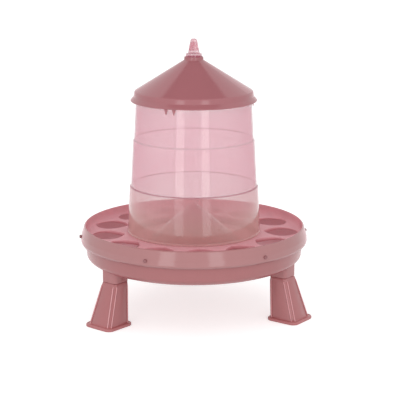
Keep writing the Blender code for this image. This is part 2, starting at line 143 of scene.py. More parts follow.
def facesAxis(face):
    # true on the inner skin of a turned wall
    middle = face.calc_center_median()
    outward = Vector((middle.x, middle.y - axisY))
    return face.normal.xy.dot(outward) < -leastLean * outward.length


def makePiece(name, bm, plastics, body, node, sharp=38, isSecond=None):
    # where isSecond(face) holds, the face takes the second plastic
    bmesh.ops.remove_doubles(bm, verts=bm.verts, dist=1e-6)
    bmesh.ops.recalc_face_normals(bm, faces=bm.faces)
    if isSecond:
        for face in bm.faces:
            face.material_index = 1 if isSecond(face) else face.material_index
    mesh = bpy.data.meshes.new(name)
    bm.to_mesh(mesh)
    bm.free()
    mesh.shade_smooth()
    mesh.set_sharp_from_angle(angle=radians(sharp))
    for plastic in plastics:
        mesh.materials.append(plastic)
    piece = bpy.data.objects.new(name, mesh)
    bpy.context.scene.collection.objects.link(piece)
    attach(piece, body)
    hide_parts(node)
    return piece


# Shader groups that several plastics share

def newGroup(name, inputs, outputs):
    group = bpy.data.node_groups.new(name, "ShaderNodeTree")
    for label, kind, value in inputs:
        socket = group.interface.new_socket(label, in_out="INPUT", socket_type=kind)
        socket.default_value = value
    for label, kind in outputs:
        group.interface.new_socket(label, in_out="OUTPUT", socket_type=kind)
    start = group.nodes.new("NodeGroupInput")
    end = group.nodes.new("NodeGroupOutput")
    return group, start, end


def addNode(tree, kind, values=None, **settings):
    node = tree.nodes.new(kind)
    for key, value in settings.items():
        setattr(node, key, value)
    for key, value in (values or {}).items():
        if isinstance(value, bpy.types.NodeSocket):
            tree.links.new(value, node.inputs[key])
        else:
            node.inputs[key].default_value = value
    return node


def math(tree, operation, first, second=0.0, third=0.0, clamp=False):
    node = addNode(tree, "ShaderNodeMath", {0: first, 1: second, 2: third}, operation=operation)
    node.use_clamp = clamp
    return node.outputs[0]


def softStep(tree, value, low, high):
    return addNode(tree, "ShaderNodeMapRange", {"Value": value, "From Min": low, "From Max": high},
                   interpolation_type="SMOOTHSTEP").outputs[0]


def mixColour(tree, factor, first, second):
    # a colour is a socket, or screen values from 0 to 255
    mix = addNode(tree, "ShaderNodeMix", {"Factor": factor}, data_type="RGBA")
    for label, colour in (("A", first), ("B", second)):
        if isinstance(colour, bpy.types.NodeSocket):
            tree.links.new(colour, mix.inputs[label])
        else:
            mix.inputs[label].default_value = screenColour(*colour)
    return mix.outputs["Result"]


def screenColour(red, green, blue):
    linear = [((c / 255 + 0.055) / 1.055) ** 2.4 if c > 10 else c / 255 / 12.92 for c in (red, green, blue)]
    return (*linear, 1.0)


def buildMouldedSkin():
    # slow changes of tone, fine moulded grain and uneven polish
    number, colour = "NodeSocketFloat", "NodeSocketColor"
    grainTone, smearHeight = 0.05, 0.6
    group, start, end = newGroup("mouldedSkin", [
        ("Plastic", colour, (0.5, 0.2, 0.2, 1)), ("Tone Change", number, 0.06),
        ("Grain Size", number, 900.0), ("Roughness", number, 0.35), ("Roughness Change", number, 0.08)],
        [("Colour", colour), ("Roughness", number), ("Height", number)])
    place = addNode(group, "ShaderNodeTexCoord").outputs["Object"]
    clouds = addNode(group, "ShaderNodeTexNoise", {"Vector": place, "Scale": 14.0, "Detail": 3.0})
    grain = addNode(group, "ShaderNodeTexNoise", {"Vector": place, "Scale": start.outputs["Grain Size"],
                                                  "Detail": 2.0})
    smear = addNode(group, "ShaderNodeTexNoise", {"Vector": place, "Scale": 60.0, "Detail": 4.0,
                                                  "Roughness": 0.6})
    centred = math(group, "SUBTRACT", clouds.outputs["Fac"], 0.5)
    tone = math(group, "MULTIPLY_ADD", centred, start.outputs["Tone Change"], 1.0)
    specks = math(group, "SUBTRACT", grain.outputs["Fac"], 0.5)
    speck = math(group, "MULTIPLY_ADD", specks, grainTone, tone)
    tinted = addNode(group, "ShaderNodeVectorMath", {0: start.outputs["Plastic"], "Scale": speck},
                     operation="SCALE")
    polish = math(group, "SUBTRACT", smear.outputs["Fac"], 0.5)
    rough = math(group, "MULTIPLY_ADD", polish, start.outputs["Roughness Change"], start.outputs["Roughness"])
    smeared = math(group, "MULTIPLY", smear.outputs["Fac"], smearHeight)
    height = math(group, "ADD", grain.outputs["Fac"], smeared)
    group.links.new(tinted.outputs["Vector"], end.inputs["Colour"])
    group.links.new(rough, end.inputs["Roughness"])
    group.links.new(height, end.inputs["Height"])
    return group


def buildDrawLines():
    # faint upright lines that a mould's polishing leaves round a turned wall
    number = "NodeSocketFloat"
    group, start, end = newGroup("drawLines", [("Axis Y", number, 0.0), ("Lines", number, 40.0),
                                               ("Amount", number, 0.5)], [("Lines", number)])
    spot = addNode(group, "ShaderNodeSeparateXYZ",
                   {0: addNode(group, "ShaderNodeTexCoord").outputs["Object"]})
    depth = math(group, "SUBTRACT", spot.outputs["Y"], start.outputs["Axis Y"])
    angle = math(group, "ARCTAN2", spot.outputs["X"], depth)
    stretched = addNode(group, "ShaderNodeCombineXYZ", {
        "X": math(group, "MULTIPLY", math(group, "SINE", angle), start.outputs["Lines"]),
        "Y": math(group, "MULTIPLY", math(group, "COSINE", angle), start.outputs["Lines"]),
        "Z": math(group, "MULTIPLY", spot.outputs["Z"], 1.5)})
    streaks = addNode(group, "ShaderNodeTexNoise", {"Vector": stretched.outputs[0], "Scale": 1.0,
                                                    "Detail": 3.0, "Roughness": 0.7})
    centred = math(group, "SUBTRACT", streaks.outputs["Fac"], 0.5)
    group.links.new(math(group, "MULTIPLY", centred, start.outputs["Amount"]), end.inputs["Lines"])
    return group


def buildEdgeHighlight():
    # painted highlight: convex corners, beads and lips take a paler colour where they would catch the light,
    # broken up in patches
    number = "NodeSocketFloat"
    group, start, end = newGroup("edgeHighlight", [("From", number, 0.51), ("To", number, 0.60),
                                             ("Amount", number, 0.3)], [("Mask", number)])
    sharpness = addNode(group, "ShaderNodeNewGeometry").outputs["Pointiness"]
    edge = softStep(group, sharpness, start.outputs["From"], start.outputs["To"])
    patches = addNode(group, "ShaderNodeTexNoise", {
        "Vector": addNode(group, "ShaderNodeTexCoord").outputs["Object"], "Scale": 90.0, "Detail": 3.0})
    broken = math(group, "MULTIPLY_ADD", patches.outputs["Fac"], 0.8, 0.5)
    shine = math(group, "MULTIPLY", math(group, "MULTIPLY", edge, broken), start.outputs["Amount"], clamp=True)
    group.links.new(shine, end.inputs["Mask"])
    return group


mouldedSkin = buildMouldedSkin()
drawLines = buildDrawLines()
edgeHighlight = buildEdgeHighlight()
print("Shader groups ready")


# Plastics. Colours are screen values from 0 to 255.

# facing runs from 0 face on to 1 edge on; a painted outline colour comes in between these: a painted
# highlight line on the cone, and painted shade, a darker tone, on most other plastics
paintedOutlineFacing = (0.62, 0.97)
clearFacing = (0.80, 0.97)
bumpDistance = 0.0004


def newMaterial(name):
    material = bpy.data.materials.new(name)
    material.use_nodes = True
    return material, material.node_tree, material.node_tree.nodes["Principled BSDF"]


def drawnLines(tree, look):
    values = {"Axis Y": axisY, "Lines": look["lines"], "Amount": look["lineAmount"]}
    return addNode(tree, "ShaderNodeGroup", values, node_tree=drawLines).outputs["Lines"]


def skinGroup(tree, look, colour):
    return addNode(tree, "ShaderNodeGroup", {
        "Plastic": colour, "Tone Change": look["toneChange"], "Grain Size": look["grainSize"],
        "Roughness": look["roughness"], "Roughness Change": look["roughnessChange"]}, node_tree=mouldedSkin)


def dressShader(tree, shader, look, skin, colour):
    # what every plastic's shader takes from its skin
    bump = addNode(tree, "ShaderNodeBump", {"Strength": look["bump"], "Distance": bumpDistance,
                                            "Height": skin.outputs["Height"]})
    tree.links.new(colour, shader.inputs["Base Color"])
    tree.links.new(skin.outputs["Roughness"], shader.inputs["Roughness"])
    tree.links.new(bump.outputs["Normal"], shader.inputs["Normal"])
    shader.inputs["IOR"].default_value = look["ior"]


def plasticMaterial(name, look):
    material, tree, shader = newMaterial(name)
    skin = skinGroup(tree, look, screenColour(*look["colour"]))
    highlight = addNode(tree, "ShaderNodeGroup", {"Amount": look["edgeAmount"]}, node_tree=edgeHighlight)
    facing = addNode(tree, "ShaderNodeLayerWeight", {"Blend": 0.5}).outputs["Facing"]
    outline = softStep(tree, facing, *paintedOutlineFacing)
    # painted light along the outline, from the facing alone
    body = mixColour(tree, outline, skin.outputs["Colour"], look["paintedOutlineColour"])
    # painted highlight: a paler colour on convex edges and beads
    paler = mixColour(tree, highlight.outputs["Mask"], body, look["edgeColour"])
    lines = math(tree, "ADD", drawnLines(tree, look), 1.0)
    streaked = addNode(tree, "ShaderNodeVectorMath", {0: paler, "Scale": lines}, operation="SCALE")
    dressShader(tree, shader, look, skin, streaked.outputs["Vector"])
    if "paintedGlow" in look:
        # painted light: the plastic glows in its own colour, standing in for daylight that comes through the
        # thin mouldings from outside
        tree.links.new(paler, shader.inputs["Emission Color"])
        shader.inputs["Emission Strength"].default_value = look["paintedGlow"]
    return material


# in each look the edge colour is a painted highlight on edges and beads, and the outline colour is painted
# light along the outline
lidLook = {"colour": (184, 115, 121), "toneChange": 0.08, "grainSize": 1100.0, "roughness": 0.13,
           "roughnessChange": 0.06, "lines": 9.0, "lineAmount": 0.05, "edgeColour": (215, 150, 158),
           "edgeAmount": 0.4, "paintedOutlineColour": (188, 62, 84), "bump": 0.012, "ior": 1.5}
grillLook = {"colour": (192, 134, 135), "toneChange": 0.08, "grainSize": 1000.0, "roughness": 0.12,
             "roughnessChange": 0.06, "lines": 12.0, "lineAmount": 0.04, "edgeColour": (205, 150, 152),
             "edgeAmount": 0.3, "paintedOutlineColour": (208, 104, 120), "bump": 0.012, "ior": 1.5}
# the grill floor's plastic is duller, and it is a lighter copy of the grill's: painted light on the recessed
# floor
floorLook = dict(grillLook, colour=(239, 174, 182), edgeColour=(240, 184, 188), edgeAmount=0.6,
                 paintedOutlineColour=(236, 168, 177), roughness=0.5, ior=1.3)
panLook = {"colour": (187, 119, 121), "toneChange": 0.08, "grainSize": 1000.0, "roughness": 0.22,
           "roughnessChange": 0.08, "lines": 12.0, "lineAmount": 0.05, "edgeColour": (205, 150, 152),
           "edgeAmount": 0.3, "paintedOutlineColour": (192, 110, 116), "bump": 0.02, "ior": 1.5}
# the trough's plastic is a lighter copy of the pan's, and it glows: painted light inside the pan and under
# the grill
troughGlowLook = dict(panLook, colour=(226, 178, 184), edgeColour=(232, 190, 192),
                  paintedOutlineColour=(226, 178, 184), roughness=0.35, paintedGlow=0.11)
# the cone's outline colour is a painted highlight along its silhouette
coneLook = dict(panLook, colour=(184, 120, 122), paintedOutlineColour=(255, 228, 224))
legLook = {"colour": (192, 122, 124), "toneChange": 0.10, "grainSize": 1000.0, "roughness": 0.25,
           "roughnessChange": 0.10, "lines": 4.0, "lineAmount": 0.03, "edgeColour": (205, 136, 138),
           "edgeAmount": 0.3, "paintedOutlineColour": (188, 116, 118), "bump": 0.03, "ior": 1.5}
# the beads' plastic is a lighter copy of the legs': a painted highlight along the beads
beadHighlightLook = dict(legLook, colour=(238, 172, 176), edgeColour=(244, 182, 186), paintedOutlineColour=(238, 172, 176))
padLook = dict(legLook, colour=(200, 124, 126), edgeColour=(210, 140, 142))
# the pegs' plastic is darker than the plastic round them: painted shade
shadedPegLook = dict(legLook, colour=(160, 103, 106), edgeColour=(168, 110, 112), edgeAmount=0.2,
               paintedOutlineColour=(120, 74, 78))
# the shoulder lines, as (height, extra density), are painted shade
clearLook = {"colour": (232, 72, 129), "deepColour": (232, 72, 129), "edgeColour": (182, 108, 124),
             "lowFrom": 0.2362, "lowTo": 0.1650, "milkyAlpha": 0.0, "milkySide": 0.0, "milkyDeep": 0.0,
             "toneChange": 0.10, "grainSize": 700.0, "roughness": 0.06, "roughnessChange": 0.04,
             "alphaFace": 0.236, "alphaSide": 0.22, "alphaEdge": 0.55, "ior": 2.1, "bump": 0.01,
             "lines": 22.0, "lineAmount": 0.20, "steps": ((0.3226, 0.09), (0.2362, 0.26)),
             "stepHalf": 0.0016, "stepCore": 0.4}
insideLook = dict(clearLook, steps=((0.3220, 0.16), (0.2357, 0.18)), roughness=0.10)
lowLook = dict(clearLook, colour=(240, 178, 186), deepColour=(224, 180, 174), milkyAlpha=0.14, milkySide=0.45,
               milkyDeep=0.10, roughness=0.06, ior=1.68)
lowInsideLook = dict(insideLook, colour=(213, 142, 139), deepColour=(213, 142, 139), ior=1.5)
hangerLook = dict(clearLook, colour=(225, 108, 137), deepColour=(225, 108, 137), edgeColour=(190, 110, 130),
                  alphaFace=0.45, steps=())


def clearMaterial(name, look):
    # tinted see-through plastic: thin on a face and deeper at its outline. Darker, denser lines on the tiers'
    # shoulders, on the outer skin's front side only, are painted shade. Where the look asks for it, the outer
    # skin turns milky, more so further down and edge on.
    material, tree, shader = newMaterial(name)
    height = addNode(tree, "ShaderNodeSeparateXYZ",
                     {0: addNode(tree, "ShaderNodeTexCoord").outputs["Object"]}).outputs["Z"]
    outer = math(tree, "SUBTRACT", 1.0, addNode(tree, "ShaderNodeNewGeometry").outputs["Backfacing"])
    depth = softStep(tree, height, look["lowFrom"], look["lowTo"])
    skin = skinGroup(tree, look, mixColour(tree, depth, look["colour"], look["deepColour"]))
    facing = addNode(tree, "ShaderNodeLayerWeight", {"Blend": 0.5}).outputs["Facing"]
    rim = softStep(tree, facing, *clearFacing)
    alpha = math(tree, "MULTIPLY_ADD", drawnLines(tree, look), look["alphaFace"], look["alphaFace"])
    alpha = math(tree, "MULTIPLY_ADD", math(tree, "POWER", facing, 2.0), look["alphaSide"], alpha)
    # the outer skin turns milkier further down and edge on
    milkiness = math(tree, "MULTIPLY_ADD", facing, look["milkySide"], look["milkyAlpha"])
    milkiness = math(tree, "MULTIPLY_ADD", depth, look["milkyDeep"], milkiness)
    alpha = math(tree, "MULTIPLY_ADD", outer, milkiness, alpha)
    alpha = math(tree, "MULTIPLY_ADD", rim, look["alphaEdge"], alpha)
    dark = rim
    # painted shade: a darker, denser line at each tier's shoulder, on the outer skin's front side
    for level, amount in look["steps"]:
        gap = math(tree, "ABSOLUTE", math(tree, "SUBTRACT", height, level))
        line = softStep(tree, gap, look["stepHalf"], look["stepCore"] * look["stepHalf"])
        band = math(tree, "MULTIPLY", line, outer)
        alpha = math(tree, "MULTIPLY_ADD", band, amount, alpha, clamp=True)
        dark = math(tree, "MAXIMUM", dark, band)
    dressShader(tree, shader, look, skin, mixColour(tree, dark, skin.outputs["Colour"], look["edgeColour"]))
    tree.links.new(alpha, shader.inputs["Alpha"])
    return material


lidPlastic = plasticMaterial("lidPlastic", lidLook)
grillPlastic = plasticMaterial("grillPlastic", grillLook)
panPlastic = plasticMaterial("panPlastic", panLook)
conePlastic = plasticMaterial("conePlastic", coneLook)
floorPlastic = plasticMaterial("floorPlastic", floorLook)
legPlastic = plasticMaterial("legPlastic", legLook)
beadHighlightPlastic = plasticMaterial("beadHighlightPlastic", beadHighlightLook)
padPlastic = plasticMaterial("padPlastic", padLook)
shadedPegPlastic = plasticMaterial("shadedPegPlastic", shadedPegLook)
troughGlowPlastic = plasticMaterial("troughGlowPlastic", troughGlowLook)
hopperPlastic = clearMaterial("hopperPlastic", clearLook)
hopperInside = clearMaterial("hopperInside", insideLook)
lowPlastic = clearMaterial("lowTierPlastic", lowLook)
lowInside = clearMaterial("lowTierInside", lowInsideLook)
hangerPlastic = clearMaterial("hangerPlastic", hangerLook)
print("Plastics ready")


# Hopper: one clear moulding in three tiers

hopper = {"tiers": (((0.1051, 0.4040), (0.1095, 0.3240)), ((0.1114, 0.3210), (0.1161, 0.2375)),
                    ((0.1187, 0.2345), (0.1227, 0.1530))),
          "wall": 0.0021, "footRadius": 0.1236, "footHeight": 0.0032, "footWidth": 0.0024,
          "shoulderRound": 0.0016, "mouthRound": 0.0006, "toeRound": 0.0004, "innerDrop": 0.0006,
          "footTopRound": 0.0008, "footRound": 0.0005, "lowTierZ": 0.2362}


def buildHopper():
    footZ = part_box("hopper")[0].z
    outer = []
    lastTier = len(hopper["tiers"]) - 1
    for index, ((topRadius, topZ), (lowRadius, lowZ)) in enumerate(hopper["tiers"]):
        outer.append((topRadius, topZ, hopper["mouthRound"] if index == 0 else hopper["shoulderRound"]))
        outer.append((lowRadius, lowZ, hopper["toeRound"] if index == lastTier else hopper["shoulderRound"]))
    # the inner skin's shoulders lie a little lower than the outer ones
    lastPoint = len(outer) - 1
    inner = [(radius - hopper["wall"], height - (hopper["innerDrop"] if 0 < i < lastPoint else 0), rounding)
             for i, (radius, height, rounding) in enumerate(outer)]
    footRadius = hopper["footRadius"]
    foot = [(footRadius, footZ + hopper["footHeight"], hopper["footTopRound"]),
            (footRadius, footZ, hopper["footRound"]),
            (footRadius - hopper["footWidth"], footZ, hopper["footRound"])]
    bm = bmesh.new()
    turnProfile(bm, softened(outer + foot + inner[::-1]))
    # the lowest tier has its own plastics, milkier and duller further down
    piece = makePiece("clearHopper", bm, [hopperPlastic, hopperInside, lowPlastic, lowInside], "feeder",
                      "hopper", isSecond=facesAxis)
    for face in piece.data.polygons:
        if face.center.z < hopper["lowTierZ"]:
            face.material_index += 2
    return piece


buildHopper()
print("Hopper built")


# Lid: cone, collar, everted lip and three pairs of pointed teeth

lid = {"lipRadius": 0.1157, "lipZ": 0.3930, "skirtRadius": 0.1098, "skirtZ": 0.4010,
       "shoulderRadius": 0.1083, "shoulderZ": 0.4103, "topRadius": 0.0204, "topZ": 0.4650,
       "collarRadius": 0.0178, "collarZ": 0.4726, "boreRadius": 0.0150, "boreZ": 0.4570, "wall": 0.0022,
       "teeth": [centre + side for centre in (-29.1, 90.9, 210.9) for side in (-3.95, 3.95)],
       "toothRadius": 0.1086, "toothWidth": 0.0078, "toothLength": 0.0128, "toothThickness": 0.0015,
       "toothRoot": 0.0040, "toothFlare": 0.0012, "toothNeck": 0.92, "toothDrop": 0.0010, "toothTip": 0.0007}


def addTooth(bm, azimuth):
    # a pointed tab with a soft tip
    half, lipZ = lid["toothWidth"] / 2, lid["lipZ"]
    top, neckZ = lipZ + lid["toothRoot"], lipZ - lid["toothDrop"]
    outline = softened([(-half - lid["toothFlare"], top), (-half * lid["toothNeck"], neckZ),
                        (0, lipZ - lid["toothLength"], lid["toothTip"]),
                        (half * lid["toothNeck"], neckZ), (half + lid["toothFlare"], top)], closed=False)
    turn = Matrix.Rotation(radians(azimuth), 3, "Z")
    sides = []
    for side in (-1, 1):
        distance = lid["toothRadius"] + side * lid["toothThickness"] / 2
        sides.append([bm.verts.new(turn @ Vector((point.x, -distance, 0)) + Vector((0, axisY, point.y)))
                      for point in outline])
    joinLoops(bm, sides, capStart=True, capEnd=True)


def buildLid():
    # both skins as (radius, height, rounding)
    wall = lid["wall"]
    outside = [(lid["collarRadius"] - 0.0004, lid["collarZ"], 0.0008),
               (lid["collarRadius"], lid["topZ"] + 0.0016, 0.0008), (lid["topRadius"], lid["topZ"], 0.0012),
               (lid["shoulderRadius"], lid["shoulderZ"], 0.0050), (lid["skirtRadius"], lid["skirtZ"], 0.0022),
               (lid["lipRadius"], lid["lipZ"] + 0.0010, 0.0010),
               (lid["lipRadius"] - 0.0012, lid["lipZ"] - 0.0010, 0.0006)]
    inside = [(lid["skirtRadius"] - 0.0006, lid["skirtZ"] - 0.0042, 0.0012),
              (lid["skirtRadius"] - wall, lid["skirtZ"] - 0.0010, 0.0012),
              (lid["shoulderRadius"] - wall, lid["shoulderZ"] - 0.0018, 0.0024),
              (lid["topRadius"] - 0.0005, lid["topZ"] - 0.0026), (lid["boreRadius"] + 0.0018, lid["boreZ"]),
              (lid["boreRadius"], lid["boreZ"]), (lid["boreRadius"], lid["collarZ"], 0.0005)]
    bm = bmesh.new()
    turnProfile(bm, softened(outside + inside))
    for azimuth in lid["teeth"]:
        addTooth(bm, azimuth)
    return makePiece("conicalLid", bm, [lidPlastic], "lid", "lid")


buildLid()
print("Lid built")


# Hanger: bridge inside the hopper, stem through the lid, spire with its eye

hanger = {"stemRadius": 0.0146, "stemTop": 0.4788, "bridgeZ": 0.3975, "bridgeWidth": 0.0140,
          "bridgeDepth": 0.0056, "bridgeReach": 0.1044, "spireBase": 0.0204, "spireTop": 0.0102,
          "spireDepth": 0.0110, "spireZ": 0.5048, "eyeWidth": 0.0056, "eyeZ": (0.4840, 0.4985),
          "crown": 0.0030, "crownAngles": (0.5, 1.0, 1.35, pi / 2), "crownSide": 0.8,
          "postRound": 0.0012, "bridgeRound": 0.0008, "overlap": 0.0002, "sunk": 0.0010}


def buildHanger():
    # the post is two flat cheeks with the eye between them, closed above and below it
    bm = bmesh.new()
    stemLow = hanger["bridgeZ"] - hanger["bridgeDepth"] / 2
    top, stem = hanger["stemTop"], hanger["stemRadius"]
    stemSide = [(0, top), (stem - 0.0028, top, 0.0003), (stem - 0.0030, top - 0.0007, 0.0003),
                (stem, top - 0.0007, 0.0006), (stem, stemLow), (0, stemLow)]
    turnProfile(bm, softened(stemSide, closed=False), steps=64, closed=False)

    def half(height):
        share = (height - top) / (hanger["spireZ"] - top)
        return (hanger["spireBase"] + share * (hanger["spireTop"] - hanger["spireBase"])) / 2

    def block(lowZ, highZ, nearY, farY, crown=0.0):
        levels = [(lowZ, 0.0), (highZ - crown, 0.0)]
        if crown:
            levels += [(highZ - crown * (1 - sin(a)), crown * (1 - cos(a))) for a in hanger["crownAngles"]]
        loops = []
        for height, inset in levels:
            x = half(height) - inset
            y0, y1 = nearY + inset * hanger["crownSide"], farY - inset * hanger["crownSide"]
            corners = [(x, y1), (-x, y1), (-x, y0), (x, y0)]
            rounded = softened([(*corner, hanger["postRound"]) for corner in corners], segments=3)
            loops.append([bm.verts.new((point.x, axisY + point.y, height)) for point in rounded])
        joinLoops(bm, loops, capStart=True, capEnd=True)

    depth, eye = hanger["spireDepth"] / 2, hanger["eyeWidth"] / 2
    eyeLow, eyeHigh = hanger["eyeZ"]
    overlap = hanger["overlap"]
    block(top - hanger["sunk"], eyeLow, -depth, depth)
    block(eyeLow - overlap, eyeHigh + overlap, -depth, -eye)
    block(eyeLow - overlap, eyeHigh + overlap, eye, depth)
    block(eyeHigh, hanger["spireZ"], -depth, depth, crown=hanger["crown"])
    # bridge with rounded edges; its ends run into the hopper's wall, which has no windows here
    across, high = hanger["bridgeWidth"] / 2, hanger["bridgeDepth"] / 2
    corners = [(-across, -high), (across, -high), (across, high), (-across, high)]
    section = softened([(*corner, hanger["bridgeRound"]) for corner in corners], segments=2)
    ends = []
    for end in (axisY - hanger["bridgeReach"], axisY + hanger["bridgeReach"]):
        ends.append([bm.verts.new((point.x, end, hanger["bridgeZ"] + point.y)) for point in section])
    joinLoops(bm, ends, capStart=True, capEnd=True)
    return makePiece("clearHanger", bm, [hangerPlastic], "feeder", "hanger")


buildHanger()
print("Hanger built")


# Anti-waste grill: band, rounded rim, a floor of pointed head holes and the mouth

grill = {"holes": 13, "phase": -2.0, "holeInner": 0.1300, "holeOuter": 0.1943, "holeWidth": 0.0640,
         "point": 1.7, "lipZ": (0.1412, 0.1462), "edgeRound": 0.0012, "edgeShare": 0.55, "sheet": 0.0015,
         "rollAngles": (0.0, 0.4, 0.8, 1.2), "spreadShares": (0.0, 0.15, 0.35, 0.6, 0.8, 1.0),
         "levelRun": 0.066, "climbRadius": 0.1935, "climbHeight": 0.0062, "climbPower": 1.9,
         "mouthRadius": 0.1150, "mouthZ": 0.1360, "spigotRadius": 0.1192, "spigotZ": 0.1507,
         "seatRadius": 0.1268, "seatZ": 0.1487, "floorZ": 0.1472, "slopeRadius": 0.1990,
         "rimRadius": 0.2030, "rimZ": 0.1626, "breakRadius": 0.2090, "breakZ": 0.1453,
         "bandRadius": 0.2102, "bandZ": 0.1320, "arcSteps": 16, "sideSteps": 12, "split": 0.72,
         "floorMargin": 0.0025}


def floorHeight(radius):
    # nearly level from the seat to the holes' outer ends, then a smooth rise to the rim's inner slope
    run = min(1.0, (radius - grill["seatRadius"]) / grill["levelRun"])
    level = grill["seatZ"] + (grill["floorZ"] - grill["seatZ"]) * run
    climb = max(0.0, radius - grill["climbRadius"]) / (grill["slopeRadius"] - grill["climbRadius"])
    return level + grill["climbHeight"] * climb ** grill["climbPower"]


def leafPoint(t):
    # the hole's outline, t from 0 at its outer tip to pi at its inner tip, negative on the other side
    halfLength = (grill["holeOuter"] - grill["holeInner"]) / 2
    middle = (grill["holeOuter"] + grill["holeInner"]) / 2
    side = 1 if sin(t) >= 0 else -1
    across = side * grill["holeWidth"] / 2 * abs(sin(t)) ** grill["point"]
    return Vector((across, -(middle + halfLength * cos(t))))


def sectorPoints():
    # pairs of a point on the hole and the point of the sector's outline that it faces; the hole's
    # ends, up to the split, face the arcs and its flanks face the sides
    half = 180.0 / grill["holes"]
    split = grill["split"]
    outer, inner = grill["slopeRadius"], grill["seatRadius"]
    pairs = []

    def rim(radius, turn):
        return Vector((radius * sin(radians(turn)), -radius * cos(radians(turn))))

    for i in range(grill["arcSteps"]):
        share = -1 + 2 * i / grill["arcSteps"]
        pairs.append((leafPoint(share * split), rim(outer, share * half)))
    for i in range(grill["sideSteps"]):
        share = i / grill["sideSteps"]
        pairs.append((leafPoint(split + share * (pi - 2 * split)),
                      rim(outer + share * (inner - outer), half)))
    for i in range(grill["arcSteps"]):
        share = 1 - 2 * i / grill["arcSteps"]
        pairs.append((leafPoint(pi - share * split), rim(inner, share * half)))
    for i in range(grill["sideSteps"]):
        share = i / grill["sideSteps"]
        pairs.append((leafPoint(-(pi - split) + share * (pi - 2 * split)),
                      rim(inner + share * (outer - inner), -half)))
    return pairs


def buildGrill():
    bm = bmesh.new()
    pairs = sectorPoints()
    for number in range(grill["holes"]):
        turn = Matrix.Rotation(radians(grill["phase"] + 360 / grill["holes"] * number), 3, "Z")
        loops = []

        def addLoop(place):
            loop = []
            for hole, edge in pairs:
                flat, height = place(hole, edge)
                spot = turn @ Vector((flat.x, flat.y, 0))
                loop.append(bm.verts.new(spot + Vector((0, axisY, height))))
            loops.append(loop)

        def lip(hole, edge):
            share = (-hole.y - grill["holeInner"]) / (grill["holeOuter"] - grill["holeInner"])
            return hole, grill["lipZ"][0] + share * (grill["lipZ"][1] - grill["lipZ"][0])

        def edgeReach(hole, edge):
            return min(grill["edgeRound"], grill["edgeShare"] * (edge - hole).length)

        def rolled(angle):
            def place(hole, edge):
                reach = edgeReach(hole, edge)
                flat = hole + (edge - hole).normalized() * reach * (1 - cos(angle))
                return flat, floorHeight(flat.length) - reach * (1 - sin(angle))
            return place

        def spread(share):
            def place(hole, edge):
                start = hole + (edge - hole).normalized() * edgeReach(hole, edge)
                flat = start + (edge - start) * share
                return flat, floorHeight(flat.length)
            return place

        addLoop(lip)
        for angle in grill["rollAngles"]:
            addLoop(rolled(angle))
        for share in grill["spreadShares"]:
            addLoop(spread(share))
        joinLoops(bm, loops)
    turns = []
    half = 180.0 / grill["holes"]
    for number in range(grill["holes"]):
        middle = grill["phase"] + 360 / grill["holes"] * number
        turns += [middle + half * (-1 + 2 * i / grill["arcSteps"]) for i in range(grill["arcSteps"])]

    def sweep(profile):
        joinLoops(bm, [[bm.verts.new(around(point.x, turn, point.y)) for turn in turns]
                       for point in profile])

    # the rim and band, then the mouth with its low spigot, as (radius, height, rounding)
    slope, rimRadius, rimZ = grill["slopeRadius"], grill["rimRadius"], grill["rimZ"]
    bandRadius, bandZ = grill["bandRadius"], grill["bandZ"]
    sweep(softened([(slope, floorHeight(slope)), (slope + 0.0012, rimZ - 0.0040, 0.0030),
                    (rimRadius - 0.0016, rimZ, 0.0020), (rimRadius + 0.0008, rimZ - 0.0020, 0.0022),
                    (grill["breakRadius"], grill["breakZ"], 0.0030), (bandRadius, bandZ + 0.0042, 0.0040),
                    (bandRadius - 0.0010, bandZ)], closed=False, segments=5))
    mouth, spigot, spigotZ = grill["mouthRadius"], grill["spigotRadius"], grill["spigotZ"]
    seatZ = grill["seatZ"]
    sweep(softened([(mouth, grill["mouthZ"]), (mouth, spigotZ, 0.0006), (spigot, spigotZ, 0.0005),
                    (spigot + 0.0004, seatZ, 0.0003), (grill["seatRadius"], seatZ)], closed=False))
    # each plastic is followed by that of its underside, and the floor is duller than the band and painted
    # lighter
    # the undersides take the trough's plastic, which is painted light
    plastics = [grillPlastic, troughGlowPlastic, floorPlastic, troughGlowPlastic]
    piece = makePiece("headHoleGrill", bm, plastics, "feeder", "anti_waste_grill", sharp=50)
    floorEdge = grill["slopeRadius"] + grill["floorMargin"]
    for face in piece.data.polygons:
        if Vector((face.center.x, face.center.y - axisY)).length < floorEdge:
            face.material_index = 2
    wall = piece.modifiers.new("wall", "SOLIDIFY")
    wall.thickness = grill["sheet"]
    wall.offset = -1
    wall.material_offset = 1
    return piece


buildGrill()
print("Grill built")


# Feed pan with its leg sockets

pan = {"bottomZ": 0.0945, "floorRadius": 0.1715, "wallRadius": 0.1997, "wallZ": 0.1100,
       "rimRadius": 0.2042, "rimZ": 0.1505, "wall": 0.0025, "seatRadius": 0.1160, "seatWidth": 0.0020,
       "seatHeight": 0.0040, "cornerSteps": 12, "rimRound": 0.0010, "seatRound": 0.0006,
       "seatFootRound": 0.0005}
